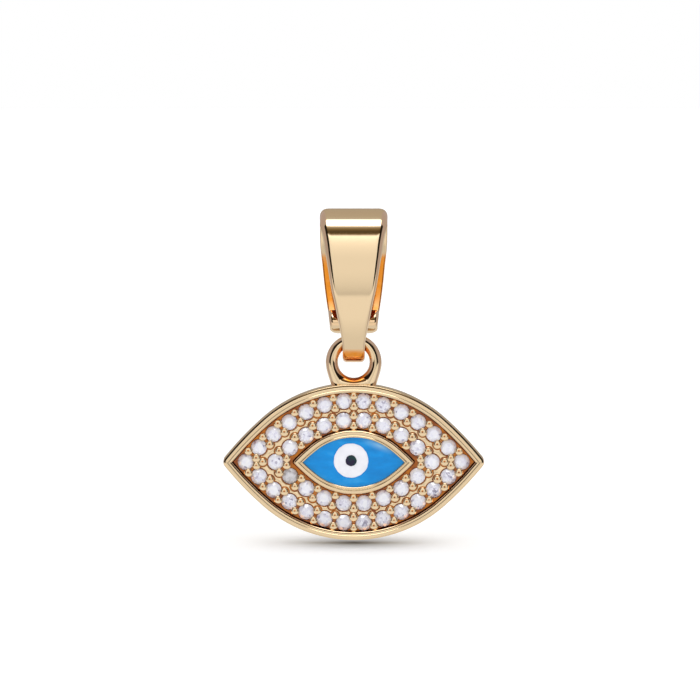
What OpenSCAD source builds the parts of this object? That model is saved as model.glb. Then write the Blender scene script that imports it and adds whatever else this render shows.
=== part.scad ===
// Evil eye pendant: a stone-set eye that hangs by its ring from a folded chain bail.
// The origin is the crown inside the bail's fold, where the chain bears.
// +Z is up, +X is along the chain and the front of the pendant faces -Y.

/* [Eye] */
// Width of the eye from corner to corner, before the corners are rounded
eye_w = 20.3; // [17:0.1:26]
// Height of the eye
eye_h = 12; // [10:0.1:16]
// Depth of the eye from its back to the top of the rim
eye_depth = 2.1; // [1.7:0.05:3]
// Width of the raised rim
rim_w = 0.56; // [0.4:0.02:0.7]
// Height of the rim above the plate that holds the stones
rim_rise = 0.6; // [0.4:0.05:0.8]
// Radius that rounds each corner of the eye
corner_r = 0.45; // [0.2:0.05:0.8]
// Radius of a lid's middle arc, as a share of the radius of one plain arc
lid_crown = 0.91; // [0.8:0.01:1]

/* [Iris] */
// Width of the bezel from corner to corner, outside
bezel_len = 9.32; // [8:0.1:10]
// Height of the bezel, outside
bezel_h = 4.94; // [4:0.1:5.2]
// Width of the bezel's wall
bezel_w = 0.56; // [0.4:0.02:0.7]
// Height of the bezel above the plate
bezel_rise = 0.5; // [0.3:0.05:0.8]
// Thickness of the blue enamel
blue_t = 0.2; // [0.1:0.02:0.3]
// Thickness of the white and of the pupil, each on the layer below it
drop_t = 0.06; // [0.04:0.01:0.1]
// Diameter of the white
white_d = 2.65; // [2:0.05:3]
// Diameter of the pupil
pupil_d = 0.85; // [0.6:0.05:1.2]
// The white's distance to the left of the eye's middle
white_left = 0.2; // [0:0.05:0.5]
// The white's height above the eye's middle
white_up = 0.12; // [0:0.02:0.2]

/* [Stones] */
// Diameter of a stone
stone_d = 1.23; // [1:0.01:1.3]
// Least space between two stones in a row
stone_space = 0.27; // [0.2:0.01:0.4]
// Clearance round a stone in its seat
seat_gap = 0.03; // [0.02:0.01:0.05]
// Clearance under a stone's point
culet_gap = 0.05; // [0.03:0.01:0.1]
// Diameter of a setting bead
bead_d = 0.44; // [0.3:0.02:0.5]
// Distance of a bead's middle from its row
bead_off = 0.47; // [0.42:0.01:0.5]
// The outer row's end stones, in from the corners of the eye
outer_tip_in = 1.845; // [1.7:0.05:2.1]
// The outer row's middle, in from the top and bottom of the eye
outer_side_in = 1.27; // [1.25:0.01:1.4]
// The inner row's end stones, out from the corners of the bezel
inner_tip_out = 1.34; // [1.1:0.02:1.5]
// The inner row's middle, out from the top and bottom of the bezel
inner_side_out = 0.77; // [0.74:0.01:0.8]
// Radius of a row's middle arc, as a share of the radius of one plain arc
row_crown = 0.84; // [0.75:0.01:1]

/* [Ring] */
// Diameter of the ring's hole
ring_hole = 2.44; // [2.2:0.02:3.4]
// Thickness of the ring's wire
ring_wire = 0.92; // [0.6:0.02:1]

/* [Chain bail] */
// Width of the bail at its fold
bail_w = 5.2; // [4:0.1:7]
// Clear depth of the chain's channel, from front to back
bail_gap = 2.9; // [2.4:0.1:4]
// Thickness of the bail's strip
bail_t = 0.8; // [0.6:0.02:1]
// Height of the chain's seat above the middle of the ring's wire
bail_drop = 9.35; // [8:0.1:12]
// Radius that rounds the fold's two ends
fold_end_r = 0.45; // [0.2:0.05:0.6]
// Lean of the front leaf where it leaves the fold, in degrees
leaf_lean = 10; // [6:1:16]
// Depth of the front leaf's furthest point forward, below the chain's seat
bulge_drop = 5.2; // [4:0.1:6]
// Lean of the front leaf where it meets the hook, in degrees
hook_lean = 22; // [16:1:30]
// Width of the hook
hook_w = 1.7; // [1.2:0.02:1.7]
// Space between the hook and the ring's wire
hook_gap = 0.44; // [0.4:0.01:0.6]
// Lean of the back leaf where it leaves the fold, in degrees
back_lean = 4; // [2:1:6]
// Radius of the back leaf, seen from the side
back_r = 24; // [20:1:30]
// Diameter of the rolled lip at the end of the back leaf
lip_d = 1.8; // [1.4:0.05:2]
// Width of the rolled lip
lip_w = 3.64; // [2.6:0.1:5]
// Height of the lip's middle above the middle of the ring's wire
lip_rise = 1.35; // [1.2:0.05:1.6]
// Space between the lip and the tip of the hook
lip_gap = 0.2; // [0.1:0.05:0.4]
// Radius that rounds the lip's two lower corners
lip_end_r = 0.35; // [0.1:0.05:0.6]

/* [Hidden] */
$fn = 64;
FAR = 100;

GOLD = "#D8B274";
CRYSTAL = "#E4E4EE";
BLUE = "#1F86D6";
WHITE = "#E3E3EA";
PUPIL = "#241B3A";

// Each lid is a middle arc that runs smoothly into two flatter end arcs.
// A lens holds the end arcs' start as a share of the angle from the middle to the corner.
LID_SHARE = 0.68;
ROW_SHARE = 0.52;

// Radii, angles and arc middles of an upper lid that spans 2 * w and rises to h
function lens(w, h, crown, share) =
    let (plain_r = (w * w + h * h) / (2 * h),
         mid_r = crown * plain_r,
         mid_a = share * 2 * atan(h / w),
         n = [sin(mid_a), cos(mid_a)],
         v = [w, mid_r - h],
         step = v - mid_r * n,
         end_r = step * step / (2 * (mid_r - v * n)),
         mid_c = [0, h - mid_r],
         end_c = mid_c - (end_r - mid_r) * n,
         end_a = atan2(w - end_c.x, -end_c.y))
    [mid_r, end_r, mid_a, end_a, mid_c, end_c];

function mid_r(o) = o[0];
function end_r(o) = o[1];
function mid_a(o) = o[2];
function end_a(o) = o[3];
function mid_c(o) = o[4];
function end_c(o) = o[5];

// Length of half a lid, and the angle and place at a distance along it from the middle
function mid_len(o) = mid_r(o) * mid_a(o) * PI / 180;
function half_len(o) = mid_len(o) + end_r(o) * (end_a(o) - mid_a(o)) * PI / 180;
function lid_angle(o, s) =
    abs(s) < mid_len(o)
        ? s / mid_r(o) * 180 / PI
        : sign(s) * (mid_a(o) + (abs(s) - mid_len(o)) / end_r(o) * 180 / PI);
function lid_normal(o, s) = [sin(lid_angle(o, s)), cos(lid_angle(o, s))];
function lid_point(o, s) =
    abs(s) < mid_len(o)
        ? mid_c(o) + mid_r(o) * lid_normal(o, s)
        : [sign(s) * end_c(o).x, end_c(o).y] + end_r(o) * lid_normal(o, s);

EYE = lens(eye_w / 2, eye_h / 2, lid_crown, LID_SHARE);
BEZEL = lens(bezel_len / 2, bezel_h / 2, lid_crown, LID_SHARE);
OUTER_ROW = lens(eye_w / 2 - outer_tip_in, eye_h / 2 - outer_side_in, row_crown, ROW_SHARE);
INNER_ROW = lens(bezel_len / 2 + inner_tip_out, bezel_h / 2 + inner_side_out, row_crown, ROW_SHARE);

// A row is divided evenly from corner to corner, above and below
function steps(o) = floor(2 * half_len(o) / (stone_d + stone_space));
function step_s(o, k) = half_len(o) * (2 * k / steps(o) - 1);
function below(p) = [p.x, -p.y];
function row_stones(o) = concat(
    [for (k = [0 : steps(o)]) lid_point(o, step_s(o, k))],
    [for (k = [steps(o) - 1 : -1 : 1]) below(lid_point(o, step_s(o, k)))]);
function upper_beads(o) =
    [for (k = [0 : steps(o) - 1], side = [-1, 1])
        let (s = step_s(o, k + 0.5))
        lid_point(o, s) + side * bead_off * lid_normal(o, s)];

OUTER = row_stones(OUTER_ROW);
INNER = row_stones(INNER_ROW);
BEADS = concat(upper_beads(OUTER_ROW), upper_beads(INNER_ROW));
tip_bead_x = (OUTER[0].x + INNER[0].x) / 2 + bead_d / 2;

// Levels in the eye, from its middle plane towards the front
back_z = -eye_depth / 2;
rim_z = eye_depth / 2;
plate_z = rim_z - rim_rise;
bezel_z = plate_z + bezel_rise;
blue_z = plate_z + blue_t;

// A brilliant cut: table, star, kite and girdle facets above, and long facets below
table_r = 0.28 * stone_d;
star_r = 0.385 * stone_d;
crown_h = 0.15 * stone_d;
girdle_h = 0.04 * stone_d;
pavilion_h = 0.41 * stone_d;
culet_cut_r = 0.11 * stone_d;
seat_h = girdle_h + pavilion_h + culet_gap;

// The ring is soldered to the top of the eye
ring_r = (ring_hole + ring_wire) / 2;

// The bail's strip in the YZ plane: arcs that run smoothly into each other
fold_c = [0, -bail_gap / 2];
fold_r = bail_gap / 2 + bail_t;
function front(a) = [-cos(a), sin(a)];
function back(a) = [cos(a), sin(a)];

leaf_r = fold_r + (fold_c.y + bulge_drop) / sin(leaf_lean);
leaf_c = fold_c + (fold_r - leaf_r) * front(leaf_lean);
hook_in_r = ring_wire / 2 + hook_gap;
hook_r = hook_in_r + bail_t;
low_r = hook_r + (bail_drop - bulge_drop) / sin(hook_lean);
low_c = [leaf_c.x - leaf_r + low_r, leaf_c.y];
wire_c = low_c + (low_r - hook_r) * front(-hook_lean);

back_c = fold_c + (fold_r - back_r) * back(back_lean);
lip_r = lip_d / 2;
lip_z = wire_c.y + lip_rise;
back_end_a = asin((back_c.y - lip_z) / (back_r - lip_r));
lip_c = back_c + (back_r - lip_r) * back(-back_end_a);

// The hook's tip stops short of the lip
hook_mid_r = hook_in_r + bail_t / 2;
lip_reach = norm(lip_c - wire_c);
tip_reach = lip_r + lip_gap + bail_t / 2;
lip_a = atan2(lip_c.y - wire_c.y, lip_c.x - wire_c.x);
tip_turn = acos((pow(hook_mid_r, 2) + pow(lip_reach, 2) - pow(tip_reach, 2))
    / (2 * hook_mid_r * lip_reach));
tip_a = lip_a - tip_turn;
tip_c = wire_c + hook_mid_r * back(tip_a);
leaf_end = wire_c + hook_r * front(-hook_lean);

eye_z = wire_c.y - 2 * ring_r - eye_h / 2;

// Half widths down each leaf: the share of its length, then the share of the
// difference between its width at the fold and its width at the end
FRONT_TAPER = [[0, 1], [0.06, 0.94], [0.14, 0.8], [0.31, 0.64], [0.54, 0.44],
    [0.66, 0.29], [0.79, 0.15], [0.88, 0.07], [0.96, 0.02], [1, 0]];
BACK_TAPER = [[0, 1], [0.16, 0.99], [0.28, 0.93], [0.4, 0.77], [0.54, 0.61],
    [0.66, 0.45], [0.77, 0.27], [0.85, 0.13], [0.93, 0.03], [1, 0]];

function two(i) = str(i < 9 ? "0" : "", i + 1);
function outer_name(i) = str("stone_outer_", two(i));
function inner_name(i) = str("stone_inner_", two(i));

// Points on an arc that turns from angle a to angle b
function arc(c, r, a, b) =
    let (n = max(6, ceil(abs(b - a) / 5)))
    [for (i = [0 : n]) c + r * back(a + (b - a) * i / n)];

// One side of a leaf's outline, from its table
function taper(table, top_w, end_w, depth) =
    [for (row = table) [(end_w + (top_w - end_w) * row[1]) / 2, -depth * row[0]]];
function mirrored(points) = [for (i = [len(points) - 1 : -1 : 0]) [-points[i].x, points[i].y]];

// The fold's rounded end, seen from the front
function fold_end() =
    arc([bail_w / 2 - fold_end_r, bail_t - fold_end_r], fold_end_r, 90, 0);

// A strip's side view in the YZ plane, cut to its outline in the XZ plane
module cut_strip(half_outline) {
    intersection() {
        rotate([90, 0, 90])
            linear_extrude(height = 2 * bail_w, center = true)
                children();
        rotate([90, 0, 0])
            linear_extrude(height = 4 * fold_r, center = true)
                polygon(concat(half_outline, mirrored(half_outline)));
    }
}

module front_leaf() {
    foot = [hook_w / 2, wire_c.y - 2 * hook_r];
    cut_strip(concat(fold_end(), taper(FRONT_TAPER, bail_w, hook_w, -leaf_end.y), [foot]))
        polygon(concat(
            arc(fold_c, fold_r, 90, 180 - leaf_lean),
            arc(leaf_c, leaf_r, 180 - leaf_lean, 180),
            arc(low_c, low_r, 180, 180 + hook_lean),
            arc(wire_c, hook_r, 180 + hook_lean, 360 + tip_a),
            arc(tip_c, bail_t / 2, tip_a, tip_a + 180),
            arc(wire_c, hook_in_r, 360 + tip_a, 180 + hook_lean),
            arc(low_c, low_r - bail_t, 180 + hook_lean, 180),
            arc(leaf_c, leaf_r - bail_t, 180, 180 - leaf_lean),
            arc(fold_c, fold_r - bail_t, 180 - leaf_lean, 90)));
}

module back_leaf() {
    lip_low = lip_c.y - lip_r;
    corner = arc([lip_w / 2 - lip_end_r, lip_low + lip_end_r], lip_end_r, 0, -90);
    rows = [for (p = taper(BACK_TAPER, bail_w, lip_w, -lip_low)) if (p.y > corner[0].y) p];
    cut_strip(concat(fold_end(), rows, corner)) {
        polygon(concat(
            arc(fold_c, fold_r, 90, back_lean),
            arc(back_c, back_r, back_lean, -back_end_a),
            arc(back_c, back_r - bail_t, -back_end_a, back_lean),
            arc(fold_c, fold_r - bail_t, back_lean, 90)));
        translate(lip_c)
            circle(r = lip_r);
    }
}

// A gilt strip folded over the chain: its front leaf ends in the hook that
// carries the ring, and its back leaf ends in a rolled lip
module bail() {
    color(GOLD) {
        front_leaf();
        back_leaf();
    }
}

// Stands a part of the eye up, from its flat drawing to its place
module in_eye() {
    translate([0, wire_c.x, eye_z])
        rotate([90, 0, 0])
            children();
}

// The shape inside a lens, drawn in from its edge by a distance
module lid_cap(o, inset) {
    start = mid_c(o) + (mid_r(o) - inset) * [sin(mid_a(o)), cos(mid_a(o))];
    translate(mid_c(o))
        circle(r = mid_r(o) - inset, $fn = 256);
    for (side = [0, 1])
        mirror([side, 0])
            intersection() {
                translate(end_c(o))
                    circle(r = end_r(o) - inset, $fn = 512);
                translate([start.x, -FAR / 2])
                    square(FAR);
            }
}

module lens_shape(o, inset) {
    intersection() {
        lid_cap(o, inset);
        mirror([0, 1])
            lid_cap(o, inset);
    }
}

// A raised wall that follows a lens
module lens_wall(o, w, z0, z1) {
    translate([0, 0, z0])
        linear_extrude(height = z1 - z0)
            difference() {
                lens_shape(o, 0);
                lens_shape(o, w);
            }
}

// What rounding takes off the eye's two corners
module corner_waste() {
    in_r = end_r(EYE) - corner_r;
    middle = end_c(EYE).x + sqrt(pow(in_r, 2) - pow(end_c(EYE).y, 2));
    touch = end_c(EYE).x + (middle - end_c(EYE).x) * end_r(EYE) / in_r;
    for (side = [0, 1])
        mirror([side, 0, 0])
            difference() {
                translate([touch, -corner_r * 2, -eye_depth])
                    cube([corner_r * 4, corner_r * 4, eye_depth * 2]);
                translate([middle, 0, 0])
                    cylinder(r = corner_r, h = eye_depth * 3, center = true);
            }
}

module plate() {
    translate([0, 0, back_z])
        linear_extrude(height = plate_z - back_z)
            lens_shape(EYE, rim_w / 2);
}

module beads() {
    for (p = BEADS, q = [p, below(p)])
        translate([q.x, q.y, plate_z])
            sphere(d = bead_d, $fn = 24);
    for (side = [-1, 1])
        translate([side * tip_bead_x, 0, plate_z])
            sphere(d = bead_d, $fn = 24);
}

module seats() {
    for (p = concat(OUTER, INNER))
        translate([p.x, p.y, plate_z - seat_h])
            cylinder(d = stone_d + 2 * seat_gap, h = seat_h + rim_rise);
}

module ring() {
    translate([0, eye_h / 2 + ring_r, 0])
        rotate_extrude()
            translate([ring_r, 0])
                circle(d = ring_wire, $fn = 48);
}

// The cast and gilt eye with its rim, bezel, setting beads and soldered ring
module eye_frame() {
    color(GOLD)
        in_eye()
            difference() {
                union() {
                    plate();
                    lens_wall(EYE, rim_w, back_z, rim_z);
                    lens_wall(BEZEL, bezel_w, back_z + bezel_w, bezel_z);
                    beads();
                    ring();
                }
                corner_waste();
                seats();
            }
}

// One round of points, on every step or on the half steps between
function round_of(n, r, z, turn = 0) =
    [for (i = [0 : n - 1]) [r * cos((i + turn) * 360 / n), r * sin((i + turn) * 360 / n), z]];

// A stone with its girdle's upper edge at z = 0 and its table towards +Z
module brilliant() {
    kite = (star_r * cos(22.5) - table_r) / (stone_d / 2 - table_r);
    star_z = crown_h * (1 - kite);
    low_kite = culet_cut_r * cos(22.5) / (stone_d / 2);
    low_z = -girdle_h - pavilion_h * (1 - low_kite);
    points = concat(
        round_of(8, table_r, crown_h),
        round_of(8, star_r, star_z, 0.5),
        round_of(16, stone_d / 2, 0),
        round_of(16, stone_d / 2, -girdle_h),
        round_of(8, culet_cut_r, low_z, 0.5),
        [[0, 0, -girdle_h - pavilion_h]]);
    STAR = 8;
    TOP = 16;
    LOW = 32;
    CUT = 48;
    CULET = 56;
    faces = concat(
        [[for (i = [7 : -1 : 0]) i]],
        [for (i = [0 : 7]) let (n = (i + 1) % 8) [i, n, STAR + i]],
        [for (i = [0 : 7]) let (p = (i + 7) % 8) [i, STAR + i, TOP + 2 * i, STAR + p]],
        [for (i = [0 : 7]) [STAR + i, TOP + 2 * i + 1, TOP + 2 * i]],
        [for (i = [0 : 7]) [STAR + i, TOP + (2 * i + 2) % 16, TOP + 2 * i + 1]],
        [for (i = [0 : 15]) let (n = (i + 1) % 16) [TOP + i, TOP + n, LOW + n, LOW + i]],
        [for (i = [0 : 7]) [CUT + i, LOW + 2 * i, LOW + 2 * i + 1]],
        [for (i = [0 : 7]) [CUT + i, LOW + 2 * i + 1, LOW + (2 * i + 2) % 16]],
        [for (i = [0 : 7]) let (p = (i + 7) % 8) [CULET, CUT + p, LOW + 2 * i, CUT + i]]);
    polyhedron(points, faces);
}

module stone(p) {
    color(CRYSTAL)
        in_eye()
            translate([p.x, p.y, plate_z])
                brilliant();
}

// The blue ground, the white and the pupil lie on each other inside the bezel
module enamel_blue() {
    color(BLUE)
        in_eye()
            translate([0, 0, plate_z])
                linear_extrude(height = blue_t)
                    lens_shape(BEZEL, bezel_w + seat_gap);
}

module enamel_drop(d, level) {
    in_eye()
        translate([-white_left, white_up, blue_z + level * drop_t])
            cylinder(d = d, h = drop_t);
}

module enamel_white() {
    color(WHITE)
        enamel_drop(white_d, 0);
}

module enamel_pupil() {
    color(PUPIL)
        enamel_drop(pupil_d, 1);
}

bail();
eye_frame();
for (i = [0 : len(OUTER) - 1])
    stone(OUTER[i]);
for (i = [0 : len(INNER) - 1])
    stone(INNER[i]);
enamel_blue();
enamel_white();
enamel_pupil();
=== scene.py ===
import math
import random

import bmesh
import bpy
from mathutils import Euler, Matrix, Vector
from mathutils.kdtree import KDTree


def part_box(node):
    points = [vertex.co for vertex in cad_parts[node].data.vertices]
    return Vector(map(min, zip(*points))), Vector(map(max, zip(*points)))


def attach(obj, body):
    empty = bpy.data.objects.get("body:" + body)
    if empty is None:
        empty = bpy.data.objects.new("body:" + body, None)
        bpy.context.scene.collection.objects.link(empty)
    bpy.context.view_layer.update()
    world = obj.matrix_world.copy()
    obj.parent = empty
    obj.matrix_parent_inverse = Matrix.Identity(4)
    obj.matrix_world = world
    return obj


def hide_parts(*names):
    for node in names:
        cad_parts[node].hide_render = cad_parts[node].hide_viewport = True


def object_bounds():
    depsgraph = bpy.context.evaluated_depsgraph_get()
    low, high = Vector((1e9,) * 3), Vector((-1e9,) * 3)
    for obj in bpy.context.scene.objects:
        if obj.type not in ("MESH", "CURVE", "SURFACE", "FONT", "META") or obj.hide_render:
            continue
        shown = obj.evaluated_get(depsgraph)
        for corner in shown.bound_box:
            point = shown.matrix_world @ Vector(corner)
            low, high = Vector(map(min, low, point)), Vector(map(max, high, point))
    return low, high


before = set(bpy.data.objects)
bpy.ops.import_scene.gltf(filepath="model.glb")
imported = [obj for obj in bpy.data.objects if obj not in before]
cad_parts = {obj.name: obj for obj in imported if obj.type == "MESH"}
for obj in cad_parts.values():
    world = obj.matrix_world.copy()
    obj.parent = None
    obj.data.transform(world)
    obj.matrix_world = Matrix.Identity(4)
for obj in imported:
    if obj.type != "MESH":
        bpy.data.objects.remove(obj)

cad_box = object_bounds()

# Cast eye
# One brass casting, gilt and polished: a flat-backed plate with a raised round rim and a bezel
# round the iris. What stands on the plate and the soldered ring are joined to it further down.
MM = 0.001
# The widths of both outlines are those before their corners are rounded
EYE_W = 20.3 * MM
EYE_H = 12 * MM
EYE_DEPTH = 2.1 * MM
EYE_CORNER_R = 0.45 * MM
RIM_W = 0.61 * MM
RIM_RISE = 0.6 * MM
BACK_EDGE_R = 0.15 * MM
BEZEL_W = 9.32 * MM
BEZEL_H = 4.94 * MM
BEZEL_WALL = 0.56 * MM
BEZEL_RISE = 0.5 * MM
BEZEL_CORNER_R = 0.12 * MM
GROUND_SINK = 0.03 * MM
# A fine groove runs along the foot of the rim and of the bezel
FOOT_W = 0.09 * MM
FOOT_DEPTH = 0.12 * MM
SHARP_R = 0.015 * MM
# The radius and the reach of a lid's middle arc, as shares of those of one plain arc
LID_CROWN = 0.91
LID_SHARE = 0.68
LID_MIDDLE_STEPS = 40
LID_END_STEPS = 36
CORNER_STEPS = 8
BACK_EDGE_STEPS = 5
# Each crest in millimetres, in from the outside and down from the top: the rim has two bands
# with a fine line between them, the bezel a wide band, a groove and a thin lip at the enamel
RIM_CREST = ((0, 0.115), (0.006, 0.085), (0.016, 0.066), (0.03, 0.056), (0.055, 0.045),
             (0.1, 0.025), (0.15, 0.009), (0.2, 0.002), (0.3, 0), (0.325, 0.008), (0.35, 0.03),
             (0.38, 0.03), (0.405, 0.01), (0.42, 0.004), (0.465, 0.007), (0.5, 0.015),
             (0.55, 0.034), (0.585, 0.052), (0.603, 0.09), (0.61, 0.14))
BEZEL_CREST = ((0, 0.16), (0.01, 0.1), (0.035, 0.055), (0.08, 0.025), (0.14, 0.008), (0.21, 0),
               (0.28, 0.006), (0.32, 0.03), (0.335, 0.13), (0.375, 0.13), (0.39, 0.045),
               (0.42, 0.018), (0.46, 0.01), (0.505, 0.024), (0.54, 0.06), (0.56, 0.12))

eye_low, eye_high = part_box("eye_frame")
eye_y = (eye_low.y + eye_high.y) / 2
eye_z = eye_low.z + EYE_H / 2
# Heights from the eye's middle plane. The stones' girdles lie level with the plate, and between
# the beads the metal is a hair lower, at the ground
back = -EYE_DEPTH / 2
rim_top = EYE_DEPTH / 2
plate = rim_top - RIM_RISE
ground = plate - GROUND_SINK
bezel_top = plate + BEZEL_RISE


def in_eye(x, y, z):
    """A place in the eye's flat drawing, with z towards its front, in the row's frame."""
    return Vector((x, eye_y - z, eye_z + y))


def lens(width, height):
    """An eye's outline: each lid is a middle arc that runs smoothly into two flatter ones."""
    w, h = width / 2, height / 2
    middle_r = LID_CROWN * (w * w + h * h) / (2 * h)
    middle_a = LID_SHARE * 2 * math.atan(h / w)
    normal = Vector((math.sin(middle_a), math.cos(middle_a)))
    tip = Vector((w, middle_r - h))
    end_r = (tip - middle_r * normal).length_squared / (2 * (middle_r - tip.dot(normal)))
    middle = Vector((0, h - middle_r))
    return middle_r, middle_a, middle, end_r, middle - (end_r - middle_r) * normal


def lens_loop(shape, inset, corner_r):
    """Points clockwise round a lens from the middle of its upper lid, drawn in by inset."""
    middle_r, middle_a, middle, end_r, end = shape
    fillet = max(corner_r - inset, SHARP_R)
    corner = Vector((end.x + math.sqrt((end_r - inset - fillet) ** 2 - end.y ** 2), 0))
    touch = math.atan2(corner.x - end.x, -end.y)
    arcs = ((middle, middle_r - inset, 0, middle_a, LID_MIDDLE_STEPS),
            (end, end_r - inset, middle_a, touch, LID_END_STEPS),
            (corner, fillet, touch, math.pi / 2, CORNER_STEPS))
    quarter = []
    for centre, radius, first, last, steps in arcs:
        for i in range(steps):
            a = first + (last - first) * i / steps
            quarter.append(centre + radius * Vector((math.sin(a), math.cos(a))))
    quarter.append(Vector((corner.x + fillet, 0)))
    loop = []
    for side, up, run in ((1, 1, quarter), (1, -1, quarter[::-1]),
                          (-1, -1, quarter), (-1, 1, quarter[::-1])):
        loop += [(side * p.x, up * p.y) for p in run[:-1]]
    return loop


def add_loop(points, loops, places):
    """Adds a loop of points."""
    loops.append(range(len(points), len(points) + len(places)))
    points += places


def bridge(faces, first, second):
    """Adds quads between two loops of as many points."""
    for i in range(len(first)):
        j = (i + 1) % len(first)
        faces.append((first[i], first[j], second[j], second[i]))


def close_up(faces, loops):
    """Bridges each loop to the next, and closes the first and the last."""
    for first, second in zip(loops, loops[1:]):
        bridge(faces, first, second)
    faces += [tuple(loops[0]), tuple(loops[-1])]


def put(name, data):
    """An object of that data, in the scene."""
    made = bpy.data.objects.new(name, data)
    bpy.context.scene.collection.objects.link(made)
    return made


def solid(name, points, faces):
    """A mesh object of those points and faces, with its normals turned outwards."""
    mesh = bpy.data.meshes.new(name)
    mesh.from_pydata(points, [], faces)
    shell = bmesh.new()
    shell.from_mesh(mesh)
    bmesh.ops.recalc_face_normals(shell, faces=shell.faces)
    shell.to_mesh(mesh)
    shell.free()
    return put(name, mesh)


# Both sections, as (in from the outside, height), from the back face to the iris's floor
back_edge = [math.radians(270 - 90 * i / BACK_EDGE_STEPS) for i in range(BACK_EDGE_STEPS + 1)]
rim_section = (
    [(BACK_EDGE_R * (1 + math.cos(a)), back + BACK_EDGE_R * (1 + math.sin(a))) for a in back_edge]
    + [(MM * inset, rim_top - MM * depth) for inset, depth in RIM_CREST]
    + [(RIM_W, ground - FOOT_DEPTH), (RIM_W + FOOT_W, ground)])
bezel_section = (
    [(-FOOT_W, ground), (0, ground - FOOT_DEPTH)]
    + [(MM * inset, bezel_top - MM * depth) for inset, depth in BEZEL_CREST]
    + [(BEZEL_WALL, plate)])

eye_shape = lens(EYE_W, EYE_H)
bezel_shape = lens(BEZEL_W, BEZEL_H)
points, faces, loops = [], [], []
for shape, section, corner_r in ((eye_shape, rim_section, EYE_CORNER_R),
                                 (bezel_shape, bezel_section, BEZEL_CORNER_R)):
    for inset, height in section:
        outline = lens_loop(shape, inset, corner_r)
        add_loop(points, loops, [in_eye(x, y, height) for x, y in outline])
close_up(faces, loops)
casting = solid("eye_casting", points, faces)


# Stone seats and beads
# Each seat is drilled in the plate. The beads are raised from the plate between the seats and
# pushed over the edges of the stones, so that four or more hold each stone. Between the two rows
# a web of the plate's first surface is left, with a fine groove cut round each bead and stone.
STONE_D = 1.23 * MM
TABLE_R = 0.28 * STONE_D
CROWN_H = 0.15 * STONE_D
SEAT_GAP = 0.03 * MM
SEAT_DEPTH = 0.6 * MM
SEAT_SIDES = 48
BEAD_R = 0.325 * MM
BEAD_CORNERS = 0.03
BEAD_OFF = 0.41 * MM
BEAD_SIDES = 28
BEAD_JITTER = 0.014 * MM
BEAD_VARIES = 0.06
BEAD_LEAN = Vector((-0.02, 0.04)) * MM
TIP_BEAD_SHIFT = 0.15 * MM
# Going up a bead and down into the tool's dot at its top: the height over the ground in
# millimetres, and the share of the bead's outline
BEAD_LEVELS = ((-0.2, 1), (0.12, 1), (0.18, 0.98), (0.215, 0.945), (0.24, 0.88), (0.256, 0.81),
               (0.268, 0.7), (0.275, 0.52), (0.279, 0.32), (0.28, 0.21), (0.276, 0.17),
               (0.25, 0.13), (0.235, 0.03))
WEB_H = 0.1 * MM
STONE_GROOVE = 0.075 * MM
BEAD_GROOVE = 0.06 * MM
# How the web's edge rounds off, in millimetres: in from the groove, and up from the web's top
WEB_EDGE = ((0, -0.045), (0.008, -0.022), (0.024, -0.007), (0.05, 0.001))
# The seed of all that lies a little differently from stone to stone and from bead to bead
CHANCE_SEED = 11


def middle_of(node):
    """The middle of a CAD node in the eye's flat drawing."""
    low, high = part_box(node)
    return Vector(((low.x + high.x) / 2, (low.z + high.z) / 2 - eye_z))


def centres(row):
    """Where a row's stones sit in the eye's flat drawing, in their order round it."""
    return [middle_of(node) for node in sorted(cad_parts) if node.startswith(row)]


def full_turn(steps):
    """The angles of even steps round a circle."""
    return [2 * math.pi * i / steps for i in range(steps)]


def turned(points, faces, centre, profile, sides):
    """Adds a closed turned form, whose profile holds a radius and a height at each step."""
    loops = []
    for radius, height in profile:
        add_loop(points, loops, [in_eye(centre.x + radius * math.cos(a),
                                        centre.y + radius * math.sin(a), height)
                                 for a in full_turn(sides)])
    close_up(faces, loops)


def apart(places, reach):
    """The places in groups, with more than that reach between any two of a group."""
    groups = []
    for place in places:
        for group in groups:
            if all((place - other).length > reach for other in group):
                group.append(place)
                break
        else:
            groups.append([place])
    return groups


def carve(base, other, operation):
    """Joins a closed mesh to the base, or cuts it out of it, and drops it."""
    step = base.modifiers.new("carve", "BOOLEAN")
    step.operation = operation
    step.object = other
    step.solver = "MANIFOLD"
    graph = bpy.context.evaluated_depsgraph_get()
    made = bpy.data.meshes.new_from_object(base.evaluated_get(graph))
    base.modifiers.clear()
    base.data = made
    bpy.data.objects.remove(other)


def carve_all(base, places, profile, sides):
    """Cuts the same turned form out of the base at many places."""
    for group in apart(places, 2 * max(radius for radius, height in profile)):
        points, faces = [], []
        for place in group:
            turned(points, faces, place, profile, sides)
        carve(base, solid("tool", points, faces), "DIFFERENCE")


def bead(points, faces, centre, size):
    """Adds a closed bead: a dome drawn out a little to three corners, one of them at the top."""
    loops = []
    for height, share in BEAD_LEVELS:
        places = []
        for a in full_turn(BEAD_SIDES):
            reach = share * size * BEAD_R * (1 + BEAD_CORNERS * math.cos(3 * (a - math.pi / 2)))
            at = centre + reach * Vector((math.cos(a), math.sin(a))) + (1 - share) * BEAD_LEAN
            places.append(in_eye(at.x, at.y, ground + height * MM))
        add_loop(points, loops, places)
    close_up(faces, loops)


def prism(outline, low, high):
    """A closed upright block over an outline in the eye's flat drawing."""
    points = [in_eye(at.x, at.y, level) for level in (low, high) for at in outline]
    foot, top = range(len(outline)), range(len(outline), len(points))
    faces = [tuple(foot), tuple(top)]
    bridge(faces, foot, top)
    return solid("tool", points, faces)


chance = random.Random(CHANCE_SEED)
outer_row = centres("stone_outer")
inner_row = centres("stone_inner")
seat_r = STONE_D / 2 + SEAT_GAP

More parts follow.
